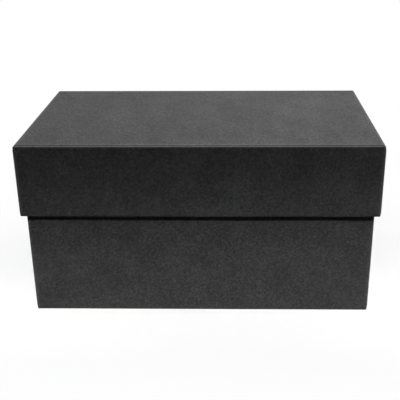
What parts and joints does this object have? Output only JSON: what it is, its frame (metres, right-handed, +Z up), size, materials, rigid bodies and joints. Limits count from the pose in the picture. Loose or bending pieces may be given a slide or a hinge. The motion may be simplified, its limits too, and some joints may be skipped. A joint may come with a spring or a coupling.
{
  "type": "board game box",
  "caption": "Rigid greyboard box for a board game: a deep base tray and a shallow lid that slips down over it, both wrapped in plain black paper.",
  "frame": {"origin": "centre of the underside, on the surface that the box stands on", "axes": "+Z up, +X along the long side, the front faces -Y"},
  "size_m": [0.2012, 0.1182, 0.1024],
  "materials": {
    "wrap_paper": "matte",
    "greyboard": "matte",
    "liner_paper": "matte",
    "corner_tape": "matte"
  },
  "bodies": {
    "base": {"base_board": "greyboard", "base_liner": "liner_paper", "base_wrap": "wrap_paper", "base_corner_stay_front_left": "corner_tape", "base_corner_stay_front_right": "corner_tape", "base_corner_stay_back_left": "corner_tape", "base_corner_stay_back_right": "corner_tape"},
    "lid": {"lid_board": "greyboard", "lid_liner": "liner_paper", "lid_wrap": "wrap_paper", "lid_corner_stay_front_left": "corner_tape", "lid_corner_stay_front_right": "corner_tape", "lid_corner_stay_back_left": "corner_tape", "lid_corner_stay_back_right": "corner_tape"}
  },
  "joints": [
    {"name": "lid_lift", "type": "slide", "parent": "base", "child": "lid", "axis": [0, 0, 1], "range_m": [0, 0.12]}
  ]
}
